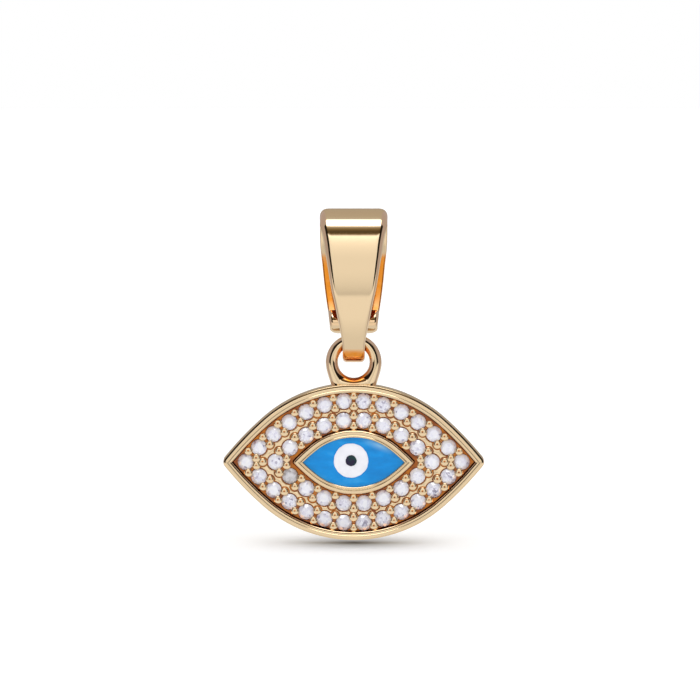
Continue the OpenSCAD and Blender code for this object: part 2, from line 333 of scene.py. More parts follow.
tip_x = (outer_row[0].x + inner_row[0].x) / 2 + TIP_BEAD_SHIFT
beads = [(Vector((tip_x, 0)), 1), (Vector((-tip_x, 0)), 1)]
for row in (outer_row, inner_row):
    for here, after in zip(row, row[1:] + row[:1]):
        along = (after - here).normalized()
        for side in (-1, 1):
            off = side * BEAD_OFF * Vector((-along.y, along.x))
            jitter = Vector((chance.uniform(-1, 1), chance.uniform(-1, 1))) * BEAD_JITTER
            size = 1 + chance.uniform(-BEAD_VARIES, BEAD_VARIES)
            beads.append(((here + after) / 2 + off + jitter, size))

web_top = ground + WEB_H
web = prism(outer_row, ground - WEB_H, web_top)
carve(web, prism(inner_row, ground - 2 * WEB_H, web_top + WEB_H), "DIFFERENCE")
for places, reach in ((outer_row + inner_row, STONE_D / 2 + STONE_GROOVE),
                      ([at for at, size in beads], BEAD_R + BEAD_GROOVE)):
    groove = ([(reach, ground - 2 * WEB_H)]
              + [(reach + inset * MM, web_top + height * MM) for inset, height in WEB_EDGE]
              + [(reach + WEB_EDGE[-1][0] * MM, web_top + WEB_H)])
    carve_all(web, places, groove, SEAT_SIDES)
carve(casting, web, "UNION")

bead_reach = 2 * (1 + BEAD_VARIES) * (1 + BEAD_CORNERS) * BEAD_R
for group in apart([place for place, size in beads], bead_reach):
    points, faces = [], []
    for place, size in beads:
        if place in group:
            bead(points, faces, place, size)
    carve(casting, solid("tool", points, faces), "UNION")

# The hole for each stone goes halfway up the slope of its crown, into the beads that hold it
crown_in = (STONE_D / 2 - TABLE_R) / 2
hole = [(seat_r, ground - SEAT_DEPTH), (seat_r, plate), (seat_r - crown_in, plate + CROWN_H / 2)]
carve_all(casting, outer_row + inner_row, hole, SEAT_SIDES)


# Jump ring
# A ring of round brass wire, closed and soldered to the top of the eye before the gilding. The
# solder has run into the corner on both sides, so the ring stands on a wide foot.
RING_HOLE = 2.44 * MM
RING_WIRE = 0.92 * MM
RING_STEPS = 120
WIRE_STEPS = 36
SOLDER_REACH = 1.46 * MM
SOLDER_SPREAD = math.radians(36.5)
# Near the foot, the solder reaches no deeper than this below the eye's top
SOLDER_SINK = 0.5 * MM
SOLDER_FLAT_TO = math.pi / 3

ring_r = (RING_HOLE + RING_WIRE) / 2
ring_y = EYE_H / 2 + ring_r
points, faces, loops = [], [], []
for a in full_turn(RING_STEPS):
    from_foot = abs(math.pi - a)
    solder = SOLDER_REACH * math.exp(-(from_foot / SOLDER_SPREAD) ** 2)
    if from_foot < SOLDER_FLAT_TO:
        deepest = (ring_r + SOLDER_SINK) / math.cos(from_foot)
        solder = min(solder, deepest - ring_r - RING_WIRE / 2)
    places = []
    for b in full_turn(WIRE_STEPS):
        reach = ring_r + solder / 2 + (RING_WIRE + solder) / 2 * math.cos(b)
        places.append(in_eye(reach * math.sin(a), ring_y + reach * math.cos(a),
                             RING_WIRE / 2 * math.sin(b)))
    add_loop(points, loops, places)
for first, second in zip(loops, loops[1:] + loops[:1]):
    bridge(faces, first, second)
carve(casting, solid("ring", points, faces), "UNION")


# Gilding
# Polished brass with a thin champagne gold plating: a metal with hardly any roughness. Its recesses
# are painted in shade, orange to brown, for the light that bounces there from gold to gold.
GILT = "#ECD2AB"
# The gilt in painted shade: orange, and brown where the shade is deepest
GILT_SHADED_ORANGE = "#EE9430"
GILT_SHADED_BROWN = "#94563A"
GILT_ROUGHNESS = (0.042, 0.105)
POLISH_WAVE = 0.9 * MM
POLISH_WAVE_DEPTH = 0.0016 * MM
WEAR_WAVE = POLISH_WAVE / 4
SMOOTH_ANGLE = math.radians(38)
# How much shade is painted in each recess: 0 leaves the gilt as it is, 0.5 is orange and 1
# brown. The shade varies with the polish, over the first range of its noise and by the second's
# factors
UNEVEN_NOISE = (0.35, 0.65)
UNEVEN_SHADE = (0.8, 1.1)
FIELD_SHADE = 0.9
SEAT_SHADE = 1.0
# The ring's inside is painted in shade too, most at its foot
RING_SHADE = 0.15
FOOT_SHADE = 1.3
FOOT_SPREAD = math.radians(38)
# The shade painted in the beads' dots, from the smallest bead's to the largest's, and the dots'
# width as a share of the bead's
DOT_SHADES = (0.3, 0.8)
DOT_SHARE = 0.21


def linear(hex_colour):
    """An sRGB hex colour as linear red, green, blue and alpha."""
    parts = [int(hex_colour[i:i + 2], 16) / 255 for i in (1, 3, 5)]
    return [c / 12.92 if c <= 0.04045 else ((c + 0.055) / 1.055) ** 2.4 for c in parts] + [1]


def add(tree, kind, inputs=None, **settings):
    """Adds a node with its settings. An input is a value or another node's output."""
    made = tree.nodes.new(kind)
    for name, value in settings.items():
        setattr(made, name, value)
    for name, value in (inputs or {}).items():
        if isinstance(value, bpy.types.NodeSocket):
            tree.links.new(value, made.inputs[name])
        else:
            made.inputs[name].default_value = value
    return made


def material(name):
    """An empty material, and its node tree."""
    made = bpy.data.materials.new(name)
    made.use_nodes = True
    made.node_tree.nodes.clear()
    return made, made.node_tree


def finish_surface(tree, shader):
    """Sends the shader to the surface."""
    add(tree, "ShaderNodeOutputMaterial", {"Surface": shader.outputs[0]})


def times(tree, first, second):
    """One value times another."""
    return add(tree, "ShaderNodeMath", {0: first, 1: second}, operation="MULTIPLY").outputs[0]


def remap(tree, value, source, target=(0.0, 1.0)):
    """Takes a value from one range to another, and not past its ends."""
    return add(tree, "ShaderNodeMapRange", {
        "Value": value, "From Min": source[0], "From Max": source[1],
        "To Min": target[0], "To Max": target[1]}).outputs[0]


gilt, tree = material("gilt_brass")
place = add(tree, "ShaderNodeTexCoord").outputs["Object"]
wave = add(tree, "ShaderNodeTexNoise", {"Vector": place, "Scale": 1 / POLISH_WAVE, "Detail": 2})
worn = add(tree, "ShaderNodeTexNoise", {"Vector": place, "Scale": 1 / WEAR_WAVE, "Detail": 3})
shade = add(tree, "ShaderNodeAttribute", attribute_name="in_shade")
uneven = remap(tree, wave.outputs["Fac"], UNEVEN_NOISE, UNEVEN_SHADE)
# The painted shade turns the gilt orange, then brown
tone = add(tree, "ShaderNodeValToRGB", {"Fac": times(tree, shade.outputs["Fac"], uneven)})
tone.color_ramp.elements[0].color = linear(GILT)
tone.color_ramp.elements[1].color = linear(GILT_SHADED_BROWN)
tone.color_ramp.elements.new(0.5).color = linear(GILT_SHADED_ORANGE)
rough = remap(tree, worn.outputs["Fac"], (0.0, 1.0), GILT_ROUGHNESS)
bump = add(tree, "ShaderNodeBump", {
    "Height": wave.outputs["Fac"], "Distance": POLISH_WAVE_DEPTH, "Strength": 1.0})
finish_surface(tree, add(tree, "ShaderNodeBsdfPrincipled", {
    "Base Color": tone.outputs[0], "Metallic": 1.0, "Roughness": rough,
    "Normal": bump.outputs[0]}))


def smooth(piece):
    """Shades a piece smooth but for its edges that turn sharply."""
    piece.data.shade_smooth()
    piece.data.set_sharp_from_angle(angle=SMOOTH_ANGLE)


def shade_points(piece, share):
    """Stores how far each point lies in the shade of the metal round it, from 0 to 1, as painted
    shade.
    """
    layer = piece.data.attributes.new("in_shade", "FLOAT", "POINT")
    layer.data.foreach_set("value", [min(1, max(0, share(v.co))) for v in piece.data.vertices])


bead_places = KDTree(len(beads))
for i, (place, size) in enumerate(beads):
    bead_places.insert((place.x + BEAD_LEAN.x, place.y + BEAD_LEAN.y, 0), i)
bead_places.balance()


def casting_shade(co):
    """How much shade is painted at a point of the casting, from the ring's inside to the seats."""
    height, up = eye_y - co.y, co.z - eye_z
    from_ring = math.hypot(co.x, up - ring_y)
    if up > EYE_H / 2 - RIM_W and from_ring < ring_r + RING_WIRE:
        from_foot = math.atan2(abs(co.x), ring_y - up)
        deepest = RING_SHADE + FOOT_SHADE * math.exp(-(from_foot / FOOT_SPREAD) ** 2)
        return deepest * (ring_r - from_ring) / (RING_WIRE / 2)
    if height > ground + 2 * GROUND_SINK:
        which, from_dot = bead_places.find((co.x, up, 0))[1:]
        if from_dot > DOT_SHARE * BEAD_R or height > rim_top - RIM_RISE / 2:
            return 0
        faint, strong = DOT_SHADES
        large = (beads[which][1] - 1 + BEAD_VARIES) / (2 * BEAD_VARIES)
        return faint + (strong - faint) * large
    if height < ground - 2 * SEAT_DEPTH:
        return 0
    return FIELD_SHADE if height > ground - GROUND_SINK else SEAT_SHADE


def dress(piece, finish, slot, body, *nodes):
    """Gives a piece its finish and its body, and hides the CAD nodes it stands for. Its slot is not
    used.
    """
    piece.data.materials.clear()
    piece.data.materials.append(finish)
    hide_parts(*nodes)
    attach(piece, body)


smooth(casting)
shade_points(casting, casting_shade)
dress(casting, gilt, "gold_plate", "eye", "eye_frame")


# Stones
# Round brilliants of clear cubic zirconia, ground and polished, with a table, eight stars, eight
# kites and the rest of the usual facets. Each is held by the beads pushed over its edge, and lies
# a little turned and tilted in its seat.
STAR_R = 0.385 * STONE_D
GIRDLE_H = 0.04 * STONE_D
PAVILION_H = 0.41 * STONE_D
CULET_CUT_R = 0.11 * STONE_D
STONE_TILT = math.radians(1.6)
STONE_IOR = 2.16
STONE_ROUGHNESS = 0.04
# The share of light that passes straight through a stone
CLEAR_THROUGH = 0.08
CLOUDY_THROUGH = 0.25
SPARKLE = 0.17 * MM
# What light comes back through a facet, from the darkest fleck to a full flash
CLEAR_FLASHES = ((0, "#847E98"), (0.1, "#B2AEC4"), (0.2, "#E0DEF0"), (0.45, "#F4F4FF"),
                 (1, "#FEFEFF"))
CLOUDY_FLASHES = ((0, "#857A76"), (0.2, "#A8A09F"), (0.45, "#D2CED2"), (1, "#F4F2F6"))
CLOUDY_STONE = "stone_inner_18"


def brilliant():
    """A brilliant's points and faces, with its girdle's upper edge at 0 and its table up."""
    def ring_of(count, radius, height, turn=0.0):
        turns = [2 * math.pi * (i + turn) / count for i in range(count)]
        return [Vector((radius * math.cos(a), radius * math.sin(a), height)) for a in turns]
    flat = math.cos(math.pi / 8)
    star_z = CROWN_H * (1 - (STAR_R * flat - TABLE_R) / (STONE_D / 2 - TABLE_R))
    low_z = -GIRDLE_H - PAVILION_H * (1 - CULET_CUT_R * flat / (STONE_D / 2))
    points = (ring_of(8, TABLE_R, CROWN_H) + ring_of(8, STAR_R, star_z, 0.5)
              + ring_of(16, STONE_D / 2, 0) + ring_of(16, STONE_D / 2, -GIRDLE_H)
              + ring_of(8, CULET_CUT_R, low_z, 0.5) + [Vector((0, 0, -GIRDLE_H - PAVILION_H))])
    # Where the points of each ring start, after the table's
    star, top, low, cut, culet = 8, 16, 32, 48, 56
    faces = [tuple(range(8))]
    for i in range(8):
        after, before = (i + 1) % 8, (i + 7) % 8
        faces += [(i, star + i, after), (i, star + before, top + 2 * i, star + i),
                  (star + i, top + 2 * i, top + 2 * i + 1),
                  (star + i, top + 2 * i + 1, top + (2 * i + 2) % 16),
                  (cut + i, low + 2 * i + 1, low + 2 * i),
                  (cut + i, low + (2 * i + 2) % 16, low + 2 * i + 1),
                  (culet, cut + i, low + 2 * i, cut + before)]
    for i in range(16):
        after = (i + 1) % 16
        faces.append((top + i, low + i, low + after, top + after))
    return points, faces


def zirconia(name, flashes, through):
    """Clear stone of a high index. Its inner reflections are drawn facet by facet and in cells."""
    made, tree = material(name)
    place = add(tree, "ShaderNodeTexCoord").outputs["Object"]
    cells = add(tree, "ShaderNodeTexVoronoi", {"Vector": place, "Scale": 1 / SPARKLE})
    cell = add(tree, "ShaderNodeSeparateColor", {"Color": cells.outputs["Color"]})
    facet = add(tree, "ShaderNodeAttribute", attribute_name="facet")
    both = add(tree, "ShaderNodeMath", {0: cell.outputs[0], 1: facet.outputs["Fac"]})
    ramp = add(tree, "ShaderNodeValToRGB", {"Fac": times(tree, both.outputs[0], 0.5)})
    stops = ramp.color_ramp.elements
    stops[0].color, stops[1].color = linear(flashes[0][1]), linear(flashes[-1][1])
    for position, colour in flashes[1:-1]:
        stops.new(position).color = linear(colour)
    finish_surface(tree, add(tree, "ShaderNodeBsdfPrincipled", {
        "Base Color": ramp.outputs[0], "Roughness": STONE_ROUGHNESS, "IOR": STONE_IOR,
        "Transmission Weight": through}))
    return made


clear_stone = zirconia("cubic_zirconia", CLEAR_FLASHES, CLEAR_THROUGH)
cloudy_stone = zirconia("cloudy_zirconia", CLOUDY_FLASHES, CLOUDY_THROUGH)
for name in sorted(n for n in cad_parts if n.startswith("stone_")):
    seat = Vector((*middle_of(name), plate))
    lie = Euler((chance.uniform(-STONE_TILT, STONE_TILT), chance.uniform(-STONE_TILT, STONE_TILT),
                 chance.uniform(0, math.pi / 4))).to_matrix()
    points, faces = brilliant()
    stone = solid("cut_" + name, [in_eye(*(seat + lie @ p)) for p in points], faces)
    facets = stone.data.attributes.new("facet", "FLOAT", "FACE")
    facets.data.foreach_set("value", [chance.random() for face in faces])
    finish = cloudy_stone if name == CLOUDY_STONE else clear_stone
    dress(stone, finish, "crystal", "eye", name)


# Enamelled iris
# Three drops of glossy enamel, each laid on the one below it when that had set, and baked: the
# blue creeps up the bezel's wall, and the white and the pupil stand a hair proud with soft edges.
BLUE_T = 0.2 * MM
DROP_T = 0.06 * MM
WHITE_D = 2.65 * MM
PUPIL_D = 0.85 * MM
BLUE_DOME = 0.03 * MM
CREEP_H = 0.05 * MM
CREEP_W = 0.07
ENAMEL_RINGS = 22
# The white's foot lies at this share of the blue's dome
DROP_ON_DOME = 0.6
# Going up a drop's edge and in over its top: shares of its radius and of its thickness
DROP_EDGE = ((0.97, 0.0), (1.0, 0.35), (0.985, 0.68), (0.95, 0.88), (0.88, 0.97), (0.7, 1.0),
             (0.4, 1.0), (0.05, 1.0))
DROP_SIDES = 96
# A ragged edge is made of waves that go round it so many times, with sizes drawn between these
RAGGED_WAVES = (3, 5, 8, 13, 21)
RAGGED_SIZES = (0.3, 1)
WHITE_RAGGED = 0.012
WHITE_SEED = 3
PUPIL_RAGGED = 0.03
PUPIL_SEED = 8
ENAMEL_IOR = 1.52
ENAMEL_ROUGHNESS = 0.2
ENAMEL_SPECULAR = 0.25
DIMPLE_DEPTH = 0.004 * MM
DIMPLE_STRENGTH = 0.6
BLUE = "#0C92E2"
BLUE_DEEP = "#0A84D2"
BLUE_PALE = "#34A2E8"
# A painted highlight: a pale streak on the blue where the light shines on its dome
HIGHLIGHT_COLOUR = "#9CD0F2"
HIGHLIGHT_SHARE = 0.75
HIGHLIGHT_AT = Vector((2.0, 1.25)) * MM
HIGHLIGHT_LENGTH = 1.9 * MM
HIGHLIGHT_WIDTH = 0.5 * MM
HIGHLIGHT_TURN = math.radians(21)
WHITE = "#F4F4FB"
WHITE_DULL = "#EDEDF5"
PUPIL = "#241B3A"
PUPIL_GREEN = "#123A38"
STREAK = 0.5 * MM
BLUE_STREAK = 3 * STREAK
BLUE_STRETCH = (1, 1, 2.5)
NO_STRETCH = (1, 1, 1)
# The range of the noise over which each colour drifts into the next
DRIFT = (0.35, 0.65)
BLUE_DRIFT = (0.3, 0.8)
PUPIL_DRIFT = (0.5, 0.62)


def blue_level(share):
    """The blue's height at a share of the way from its middle to its edge."""
    return (plate + BLUE_T + BLUE_DOME * (1 - share ** 2)
            + CREEP_H * math.exp(-(1 - share) / CREEP_W))


edge = lens_loop(bezel_shape, BEZEL_WALL, BEZEL_CORNER_R)
inward = [1 - k / ENAMEL_RINGS for k in range(ENAMEL_RINGS)]
points, faces, loops = [], [], []
for share, level in [(1, plate)] + [(share, blue_level(share)) for share in inward]:
    add_loop(points, loops, [in_eye(share * x, share * y, level) for x, y in edge])
close_up(faces, loops)
blue_piece = solid("iris_blue", points, faces)
smooth(blue_piece)


def mix(tree, factor, first, second, blend="MIX"):
    """Goes from the first colour to the second as the factor goes from 0 to 1."""
    return add(tree, "ShaderNodeMix", {"Factor": factor, 6: first, 7: second},
               data_type="RGBA", blend_type=blend).outputs[2]


def enamel(name, colours, scale, stretch, spread, painted_highlight=False):
    """Glossy enamel whose colour drifts between the given ones in soft brushed streaks, and which
    can carry a painted highlight.
    """
    made, tree = material(name)
    place = add(tree, "ShaderNodeTexCoord").outputs["Object"]
    drawn = add(tree, "ShaderNodeMapping", {"Vector": place, "Scale": stretch})
    drift = add(tree, "ShaderNodeTexNoise", {
        "Vector": drawn.outputs[0], "Scale": 1 / scale, "Detail": 3})
    ramp = add(tree, "ShaderNodeValToRGB", {"Fac": drift.outputs["Fac"]})
    ends = ramp.color_ramp.elements
    ends[0].position, ends[0].color = spread[0], linear(colours[0])
    ends[1].position, ends[1].color = spread[1], linear(colours[-1])
    if len(colours) == 3:
        ends.new(sum(spread) / 2).color = linear(colours[1])
    colour = ramp.outputs[0]
    # A painted highlight: a pale streak laid over the enamel's colour
    if painted_highlight:
        highlight_place = add(tree, "ShaderNodeMapping", {
            "Vector": place, "Location": (HIGHLIGHT_AT.x, 0, eye_z + HIGHLIGHT_AT.y),
            "Rotation": (0, HIGHLIGHT_TURN, 0), "Scale": (HIGHLIGHT_LENGTH, 1, HIGHLIGHT_WIDTH)}, vector_type="TEXTURE")
        highlight_falloff = add(tree, "ShaderNodeTexGradient", {"Vector": highlight_place.outputs[0]},
                   gradient_type="QUADRATIC_SPHERE")
        share = times(tree, highlight_falloff.outputs["Fac"], HIGHLIGHT_SHARE)
        colour = mix(tree, share, colour, linear(HIGHLIGHT_COLOUR))
    dimple = add(tree, "ShaderNodeBump", {
        "Height": drift.outputs["Fac"], "Distance": DIMPLE_DEPTH, "Strength": DIMPLE_STRENGTH})
    finish_surface(tree, add(tree, "ShaderNodeBsdfPrincipled", {
        "Base Color": colour, "Roughness": ENAMEL_ROUGHNESS, "IOR": ENAMEL_IOR,
        "Specular IOR Level": ENAMEL_SPECULAR, "Normal": dimple.outputs[0]}))
    return made


blue_enamel = enamel("blue_enamel", (BLUE_DEEP, BLUE, BLUE_PALE), BLUE_STREAK, BLUE_STRETCH,
                     BLUE_DRIFT, painted_highlight=True)
dress(blue_piece, blue_enamel, "enamel_blue", "eye", "enamel_blue")


def drop(name, node, radius, base, ragged, seed):
    """A flat drop of enamel over a CAD node, with a soft and slightly uneven edge."""
    centre = middle_of(node)
    waver = random.Random(seed)
    waves = [(n, waver.uniform(0, 2 * math.pi), waver.uniform(*RAGGED_SIZES))
             for n in RAGGED_WAVES]
    points, faces, loops = [], [], []
    for share, rise in DROP_EDGE:
        places = []
        for a in full_turn(DROP_SIDES):
            uneven = sum(size * math.cos(n * a + turn) for n, turn, size in waves) / 2
            reach = share * radius * (1 + ragged * uneven)
            places.append(in_eye(centre.x + reach * math.cos(a), centre.y + reach * math.sin(a),
                                 base + rise * DROP_T))
        add_loop(points, loops, places)
    close_up(faces, loops)
    piece = solid(name, points, faces)
    smooth(piece)
    return piece


drop_base = plate + BLUE_T + DROP_ON_DOME * BLUE_DOME
white_piece = drop("iris_white", "enamel_white", WHITE_D / 2, drop_base, WHITE_RAGGED,
                   WHITE_SEED)
white_enamel = enamel("white_enamel", (WHITE, WHITE_DULL), STREAK, NO_STRETCH, DRIFT)
dress(white_piece, white_enamel, "enamel_white", "eye", "enamel_white")
pupil_piece = drop("iris_pupil", "enamel_pupil", PUPIL_D / 2, drop_base + DROP_T, PUPIL_RAGGED,
                   PUPIL_SEED)
pupil_enamel = enamel("pupil_enamel", (PUPIL, PUPIL_GREEN), STREAK, NO_STRETCH, PUPIL_DRIFT)
dress(pupil_piece, pupil_enamel, "enamel_pupil", "eye", "enamel_pupil")


# Bail
# One strip of brass, stamped to its tapering outline, bent over the chain, polished and gilt.
# Its front leaf ends in the hook that carries the ring, its back leaf is rolled into a lip.
BAIL_W = 5.2 * MM
BAIL_GAP = 2.9 * MM
BAIL_T = 0.8 * MM
FOLD_END_R = 0.12 * MM
LEAF_LEAN = math.radians(10)
BULGE_DROP = 5.2 * MM
SEAT_TO_WIRE = 9.35 * MM
HOOK_LEAN = math.radians(22)
HOOK_W = 1.7 * MM
HOOK_GAP = 0.44 * MM
BACK_LEAN = math.radians(4)
BACK_R = 24 * MM
LIP_D = 1.8 * MM
LIP_W = 3.64 * MM
LIP_RISE = 1.35 * MM
LIP_GAP = 0.2 * MM
LIP_END_R = 0.35 * MM
LIP_TURN = math.radians(292)
# The edges are broken widely on the outside at the fold, and less towards the hook
EDGE_TOP_R = 0.6 * MM
EDGE_LOW_R = 0.32 * MM
EDGE_DROP = 5.5 * MM
EDGE_IN_R = 0.12 * MM
EDGE_STEPS = 7
# The flat sides start a little past the rounded edges, so that the shading turns softly
EDGE_EASING = 1.3
STEP = 0.12 * MM
# How the hook's tip rounds off: shares of half the strip's thickness
TIP_SHARES = (0.97, 0.88, 0.7, 0.45, 0.15)
# The shade painted down the bail, with the heights where it starts or is full. What lies deeper
# in the strip than INNER_FROM is on its inner side
INNER_FROM = 0.8 * BAIL_T
FOLD_SHADE = 1.0
FOLD_SHADE_FROM = -0.7 * MM
CHANNEL_SHADE = 0.5
CHANNEL_SHADE_FROM = -2.7 * MM
CHANNEL_SHADE_FULL = -3.1 * MM
LIP_SHADE = 0.38
LIP_FADE = 0.9 * MM
BEHIND_HOOK_SHADE = 0.08
# Under the hook the painted orange is a painted reflection of the gilt eye below it
HOOK_SHADE = 0.5
HOOK_SHADE_FROM = -10.0 * MM
HOOK_SHADE_FULL = -10.15 * MM
HOOK_TIP_SHADE = 0.2
HOOK_TIP_FROM = -10.6 * MM
# Shares of a leaf's length, and of the difference between its widths at both ends
FRONT_TAPER = ((0, 1), (0.05, 0.97), (0.1, 0.91), (0.18, 0.82), (0.25, 0.76), (0.32, 0.69),
               (0.44, 0.58), (0.52, 0.5), (0.62, 0.37), (0.7, 0.28), (0.78, 0.19), (0.86, 0.1),
               (0.93, 0.03), (1, 0))
BACK_TAPER = ((0, 1), (0.16, 0.99), (0.28, 0.93), (0.4, 0.77), (0.54, 0.61), (0.66, 0.45),
              (0.77, 0.27), (0.85, 0.13), (0.93, 0.03), (1, 0))


def ray(angle):
    """A unit vector in the YZ plane, turned from +Y towards +Z."""
    return Vector((math.cos(angle), math.sin(angle)))


fold_c = Vector((0, -BAIL_GAP / 2))
fold_r = BAIL_GAP / 2 + BAIL_T
leaf_r = fold_r + (fold_c.y + BULGE_DROP) / math.sin(LEAF_LEAN)
leaf_c = fold_c + (fold_r - leaf_r) * ray(math.pi - LEAF_LEAN)
hook_r = RING_WIRE / 2 + HOOK_GAP + BAIL_T
low_r = hook_r + (SEAT_TO_WIRE - BULGE_DROP) / math.sin(HOOK_LEAN)
low_c = Vector((leaf_c.x - leaf_r + low_r, leaf_c.y))
wire_c = low_c + (low_r - hook_r) * ray(math.pi + HOOK_LEAN)
back_c = fold_c + (fold_r - BACK_R) * ray(BACK_LEAN)
lip_out_r = LIP_D / 2
lip_z = wire_c.y + LIP_RISE
back_end = math.asin((back_c.y - lip_z) / (BACK_R - lip_out_r))
lip_c = back_c + (BACK_R - lip_out_r) * ray(-back_end)
hook_mid_r = hook_r - BAIL_T / 2
to_lip = lip_c - wire_c
tip_reach = lip_out_r + LIP_GAP + BAIL_T / 2
tip_turn = math.acos((hook_mid_r ** 2 + to_lip.length_squared - tip_reach ** 2)
                     / (2 * hook_mid_r * to_lip.length))
tip_a = math.atan2(to_lip.y, to_lip.x) - tip_turn
leaf_end_z = (wire_c + hook_r * ray(math.pi + HOOK_LEAN)).y
lip_low_z = lip_c.y - lip_out_r


def smooth_step(table, share):
    """Reads a table of (share, value) with the slope eased through each of its rows."""
    share = min(max(share, 0), 1)
    k = max(i for i in range(len(table) - 1) if table[i][0] <= share)
    before, here = table[max(k - 1, 0)], table[k]
    after, beyond = table[k + 1], table[min(k + 2, len(table) - 1)]
    span = after[0] - here[0]
    t = (share - here[0]) / span
    slope_here = (after[1] - before[1]) / (after[0] - before[0]) * span
    slope_after = (beyond[1] - here[1]) / (beyond[0] - here[0]) * span
    return ((2 * t ** 3 - 3 * t ** 2 + 1) * here[1] + (t ** 3 - 2 * t ** 2 + t) * slope_here
            + (3 * t ** 2 - 2 * t ** 3) * after[1] + (t ** 3 - t ** 2) * slope_after)


def corner_in(height, radius):
    """How far a corner of that radius draws a side in, at a height past the corner's start."""
    past = min(max(height, 0), radius)
    return radius - math.sqrt(radius ** 2 - past ** 2)


def half_width(z, on_front):
    """Half the strip's width at a height, from the leaf's outline as seen from the front."""
    if on_front:
        wide = smooth_step(FRONT_TAPER, z / leaf_end_z)
        half = (HOOK_W + (BAIL_W - HOOK_W) * wide) / 2
    else:
        wide = smooth_step(BACK_TAPER, z / lip_low_z)
        half = (LIP_W + (BAIL_W - LIP_W) * wide) / 2
        half -= corner_in(lip_low_z + LIP_END_R - z, LIP_END_R)
    return half - corner_in(z - (BAIL_T - FOLD_END_R), FOLD_END_R)


def strip_section(outer_edge, inner_edge):
    """Section points (in from the side, depth below the outer face), round the strip."""
    def corner(radius, depth, first):
        steps = [first + math.pi / 2 * i / EDGE_STEPS for i in range(EDGE_STEPS + 1)]
        return [(radius - radius * math.cos(a), depth - radius * math.sin(a)) for a in steps]
    side = ([(EDGE_EASING * outer_edge, 0)] + corner(outer_edge, outer_edge, 0)[::-1]
            + corner(inner_edge, BAIL_T - inner_edge, -math.pi / 2)[::-1]
            + [(EDGE_EASING * inner_edge + inner_edge, BAIL_T)])
    return [(1, inset, depth) for inset, depth in side] + [
        (-1, inset, depth) for inset, depth in side[::-1]]


# Each arc of the strip: its centre, its outer radius, the angles where it starts and ends, and
# whether it belongs to the front leaf
arcs = ((wire_c, hook_r, 2 * math.pi + tip_a, math.pi + HOOK_LEAN, True),
        (low_c, low_r, math.pi + HOOK_LEAN, math.pi, True),
        (leaf_c, leaf_r, math.pi, math.pi - LEAF_LEAN, True),
        (fold_c, fold_r, math.pi - LEAF_LEAN, math.pi / 2, True),
        (fold_c, fold_r, math.pi / 2, BACK_LEAN, False),
        (back_c, BACK_R, BACK_LEAN, -back_end, False),
        (lip_c, lip_out_r, -back_end, -back_end - LIP_TURN, False))
points, faces, loops = [], [], []


def add_station(centre, outer_r, angle, on_front, ahead=0.0, slim=1.0):
    """Adds one loop of the strip, set forward and slimmed where it rounds the hook's tip."""
    outward = ray(angle)
    forward = Vector((-outward.y, outward.x)) * ahead
    middle = centre + (outer_r - BAIL_T / 2) * outward + forward
    share = min(1, max(0, -middle.y / EDGE_DROP))
    outer_edge = EDGE_TOP_R + (EDGE_LOW_R - EDGE_TOP_R) * share
    places = []
    for side, inset, depth in strip_section(outer_edge, EDGE_IN_R):
        at = middle + (BAIL_T / 2 - depth) * slim * outward
        places.append((side * (half_width(at.y, on_front) - inset), at.x, at.y))
    add_loop(points, loops, places)


centre, outer_r, first, last, on_front = arcs[0]
for share in TIP_SHARES:
    slim = math.sqrt(1 - share ** 2)
    add_station(centre, outer_r, first, on_front, share * BAIL_T / 2, slim)
for centre, outer_r, first, last, on_front in arcs:
    steps = math.ceil(abs(last - first) * (outer_r - BAIL_T / 2) / STEP)
    # Where two arcs of the front leaf meet there is no station, and the last arc has its end too
    start = 1 if on_front and centre is not wire_c else 0
    for i in range(start, steps + (centre is lip_c)):
        add_station(centre, outer_r, first + (last - first) * i / steps, on_front)
close_up(faces, loops)
strip = solid("bail_strip", points, faces)
smooth(strip)


def bail_shade(co):
    """How much shade is painted at a point of the bail: in the fold, the channel and the hook."""
    at = Vector((co.y, co.z))
    if at.y > fold_c.y:
        within = (at - fold_c).length < fold_r - INNER_FROM
        return FOLD_SHADE if within and at.y > FOLD_SHADE_FROM else 0
    if at.x > 0:
        if (at - back_c).length > BACK_R - INNER_FROM or at.y < lip_c.y + lip_out_r:
            return 0
        if at.y > CHANNEL_SHADE_FULL:
            return CHANNEL_SHADE * ((CHANNEL_SHADE_FROM - at.y)
                                    / (CHANNEL_SHADE_FROM - CHANNEL_SHADE_FULL))
        from_lip = min(1, (at.y - lip_c.y - lip_out_r) / LIP_FADE)
        return LIP_SHADE + (CHANNEL_SHADE - LIP_SHADE) * from_lip
    if at.y < HOOK_SHADE_FROM:
        under = min(1, (HOOK_SHADE_FROM - at.y) / (HOOK_SHADE_FROM - HOOK_SHADE_FULL))
        return under * (HOOK_TIP_SHADE if at.y < HOOK_TIP_FROM else HOOK_SHADE)
    on_leaf = (at - leaf_c).length < leaf_r - INNER_FROM
    on_low = (at - low_c).length < low_r - INNER_FROM
    return CHANNEL_SHADE * on_leaf if at.y > leaf_c.y else BEHIND_HOOK_SHADE * on_low


shade_points(strip, bail_shade)
dress(strip, gilt, "gold_plate", "bail", "bail")


# Studio
# A pale acrylic table, lit a little from below, a long soft light overhead and pale walls. The
# camera stands far off with a long lens, five degrees above the pendant, as for the photograph.
FLOOR_GAP = 0.3 * MM
FLOOR_FRONT = 0.118
FLOOR_BACK = 0.5
FLOOR_SIDE = 0.1
FLOOR_COLOUR = "#FAFAFA"
# The colour of the painted shadow
PAINTED_SHADOW_COLOUR = "#4A4A4A"
FLOOR_ROUGHNESS = 0.7
FLOOR_GLOW = 0.2
# Half the width and half the depth of the soft shadow painted on the table under the eye
SHADE_X = 9.5 * MM
SHADE_Y = 8.5 * MM
# The picture's width, its scale, and the place in it where the frame's origin stands
PICTURE_PIXELS = 700
PIXELS_PER_MM = 13.0
ORIGIN_PIXEL = Vector((353.7, 218.5))
CAMERA_RISE = math.radians(5)
CAMERA_DISTANCE = 0.9
# In millimetres, as for a lens
SENSOR = 36.0

